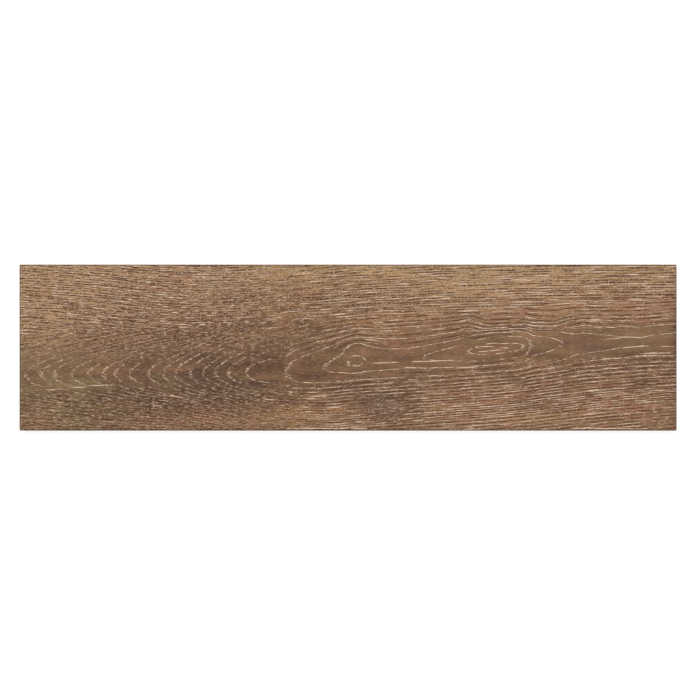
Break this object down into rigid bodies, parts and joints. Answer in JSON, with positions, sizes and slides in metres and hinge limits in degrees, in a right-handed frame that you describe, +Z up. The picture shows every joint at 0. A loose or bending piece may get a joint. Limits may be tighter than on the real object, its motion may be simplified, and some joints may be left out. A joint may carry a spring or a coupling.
{
  "type": "wood look porcelain plank tile",
  "caption": "Rectangular pressed porcelain floor tile in plank format, with an oak-grain glazed face, rounded face edges, drafted flanks and a keyed back for adhesive.",
  "frame": {"origin": "middle of the back's bearing plane, which is the level of the rib tops and rim", "axes": "+X along the plank and its grain, +Y across the plank, +Z up through the glazed face"},
  "size_m": [0.597, 0.151, 0.009],
  "materials": {
    "glazed_porcelain": "satin"
  },
  "bodies": {
    "root": {"plank_tile": "glazed_porcelain"}
  },
  "joints": []
}
